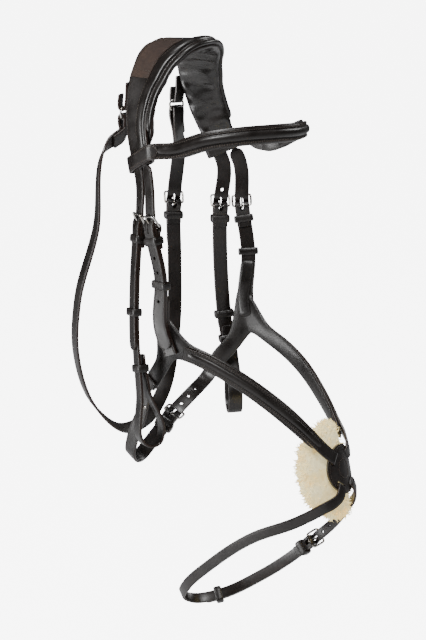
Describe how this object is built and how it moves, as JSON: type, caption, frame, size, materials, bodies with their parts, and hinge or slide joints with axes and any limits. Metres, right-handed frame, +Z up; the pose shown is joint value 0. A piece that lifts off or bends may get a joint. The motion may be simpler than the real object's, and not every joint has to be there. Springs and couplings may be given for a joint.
{
  "type": "grackle bridle",
  "caption": "Leather bridle with crossed noseband straps on a nose disc, padded crown, browband, throatlatch and buckled cheeks ending in bit loops.",
  "frame": {"origin": "underside of the headpiece's padding at the poll, on the symmetry plane", "axes": "+Z up, -Y towards the horse's nose, +X towards the far side as the picture sees it"},
  "size_m": [0.2278, 0.3, 0.6379],
  "materials": {
    "black_leather": "smooth waxed",
    "lining_leather": "soft grained",
    "brown_panel": "soft matt",
    "stainless_steel": "polished",
    "sheepskin": "clipped wool"
  },
  "bodies": {
    "headpiece": {"crown_leather": "black_leather", "crown_padding": "lining_leather", "crown_panel": "brown_panel", "crown_piping": "black_leather", "near_ring_tab": "black_leather", "far_ring_tab": "black_leather"},
    "throatlatch": {"near_ring": "stainless_steel", "far_ring": "stainless_steel", "throat_billet": "black_leather", "throat_strap": "black_leather", "throat_buckle": "stainless_steel", "throat_keeper": "black_leather"},
    "throat_tongue": {"throat_tongue": "stainless_steel"},
    "browband": {"browband": "black_leather", "browband_padding": "lining_leather"},
    "near_cheek": {"near_cheek_billet": "black_leather", "near_cheek_strap": "black_leather", "near_cheek_buckle": "stainless_steel", "near_cheek_keeper": "black_leather", "near_cheek_loop_keeper": "black_leather", "near_cheek_stud": "stainless_steel"},
    "near_cheek_tongue": {"near_cheek_tongue": "stainless_steel"},
    "near_cheek_runner": {"near_cheek_runner": "black_leather"},
    "far_cheek": {"far_cheek_billet": "black_leather", "far_cheek_strap": "black_leather", "far_cheek_buckle": "stainless_steel", "far_cheek_keeper": "black_leather", "far_cheek_loop_keeper": "black_leather", "far_cheek_stud": "stainless_steel"},
    "far_cheek_tongue": {"far_cheek_tongue": "stainless_steel"},
    "far_cheek_runner": {"far_cheek_runner": "black_leather"},
    "noseband": {"near_hanger_billet": "black_leather", "near_hanger": "black_leather", "near_hanger_buckle": "stainless_steel", "near_hanger_keeper": "black_leather", "near_nose_pad": "lining_leather", "near_nose_strap": "black_leather", "far_hanger_billet": "black_leather", "far_hanger": "black_leather", "far_hanger_buckle": "stainless_steel", "far_hanger_keeper": "black_leather", "far_nose_pad": "lining_leather", "far_nose_strap": "black_leather", "jaw_billet": "black_leather", "jaw_strap": "black_leather", "jaw_buckle": "stainless_steel", "jaw_keeper": "black_leather", "nose_disc": "black_leather", "nose_fleece": "sheepskin"},
    "near_hanger_tongue": {"near_hanger_tongue": "stainless_steel"},
    "near_hanger_runner": {"near_hanger_runner": "black_leather"},
    "far_hanger_tongue": {"far_hanger_tongue": "stainless_steel"},
    "far_hanger_runner": {"far_hanger_runner": "black_leather"},
    "jaw_tongue": {"jaw_tongue": "stainless_steel"},
    "chin_strap": {"chin_billet": "black_leather", "chin_strap": "black_leather", "chin_buckle": "stainless_steel", "chin_keeper": "black_leather"},
    "chin_tongue": {"chin_tongue": "stainless_steel"},
    "chin_runner": {"chin_runner": "black_leather"}
  },
  "joints": [
    {"name": "throatlatch_swing", "type": "hinge", "parent": "headpiece", "child": "throatlatch", "pos_m": [0, 0.02763, -0.05921], "axis": [1, 0, 0], "range_deg": [0, 15]},
    {"name": "throat_tongue_turn", "type": "hinge", "parent": "throatlatch", "child": "throat_tongue", "pos_m": [0.08767, 0.04725, -0.1811], "axis": [-0.6388, 0.7686, 0.0333], "range_deg": [0, 8]},
    {"name": "browband_tilt", "type": "hinge", "parent": "headpiece", "child": "browband", "pos_m": [0, -0.01386, -0.11134], "axis": [1, 0, 0], "range_deg": [-2.5, 4]},
    {"name": "near_cheek_swing", "type": "hinge", "parent": "headpiece", "child": "near_cheek", "pos_m": [-0.09244, -0.01013, -0.12383], "axis": [0.4403, 0.8049, -0.3979], "range_deg": [0, 25]},
    {"name": "near_cheek_tongue_turn", "type": "hinge", "parent": "near_cheek", "child": "near_cheek_tongue", "pos_m": [-0.0894, -0.01211, -0.18166], "axis": [-0.6172, -0.7864, -0.0252], "range_deg": [0, 8]},
    {"name": "near_cheek_runner_slide", "type": "slide", "parent": "near_cheek", "child": "near_cheek_runner", "axis": [-0.0757, -0.031, -0.9967], "range_m": [-0.008, 0.008]},
    {"name": "far_cheek_swing", "type": "hinge", "parent": "headpiece", "child": "far_cheek", "pos_m": [0.09244, -0.01013, -0.12383], "axis": [0.4403, -0.8049, 0.3979], "range_deg": [0, 25]},
    {"name": "far_cheek_tongue_turn", "type": "hinge", "parent": "far_cheek", "child": "far_cheek_tongue", "pos_m": [0.0894, -0.01211, -0.18166], "axis": [-0.6172, 0.7864, 0.0252], "range_deg": [0, 8]},
    {"name": "far_cheek_runner_slide", "type": "slide", "parent": "far_cheek", "child": "far_cheek_runner", "axis": [-0.0737, 0.0836, 0.9938], "range_m": [-0.008, 0.008]},
    {"name": "noseband_swing", "type": "hinge", "parent": "headpiece", "child": "noseband", "pos_m": [0, -0.02637, -0.12385], "axis": [-1, 0, 0], "range_deg": [0, 7.5]},
    {"name": "near_hanger_tongue_turn", "type": "hinge", "parent": "noseband", "child": "near_hanger_tongue", "pos_m": [-0.10094, -0.03325, -0.18128], "axis": [-0.4087, -0.9071, 0.1008], "range_deg": [0, 8]},
    {"name": "near_hanger_runner_slide", "type": "slide", "parent": "noseband", "child": "near_hanger_runner", "axis": [0.096, 0.0378, -0.9947], "range_m": [-0.006, 0.0055]},
    {"name": "far_hanger_tongue_turn", "type": "hinge", "parent": "noseband", "child": "far_hanger_tongue", "pos_m": [0.10094, -0.03325, -0.18128], "axis": [-0.4087, 0.9071, -0.1002], "range_deg": [0, 8]},
    {"name": "far_hanger_runner_slide", "type": "slide", "parent": "noseband", "child": "far_hanger_runner", "axis": [0.0824, 0.1132, 0.9901], "range_m": [-0.006, 0.0055]},
    {"name": "jaw_tongue_turn", "type": "hinge", "parent": "noseband", "child": "jaw_tongue", "pos_m": [0.00774, 0.00687, -0.40813], "axis": [-0.1184, 0.8583, 0.4992], "range_deg": [0, 8]},
    {"name": "chin_strap_swing", "type": "hinge", "parent": "noseband", "child": "chin_strap", "pos_m": [0, -0.21119, -0.4608], "axis": [-1, 0, 0], "range_deg": [0, 12], "stiffness_Nm_per_rad": 0.6, "springref_deg": -17.19},
    {"name": "chin_tongue_turn", "type": "hinge", "parent": "chin_strap", "child": "chin_tongue", "pos_m": [0.04138, -0.15067, -0.54344], "axis": [0.1741, 0.6366, 0.7513], "range_deg": [0, 8]},
    {"name": "chin_runner_slide", "type": "slide", "parent": "chin_strap", "child": "chin_runner", "axis": [0.4366, -0.8549, 0.2803], "range_m": [-0.003, 0.003]}
  ]
}
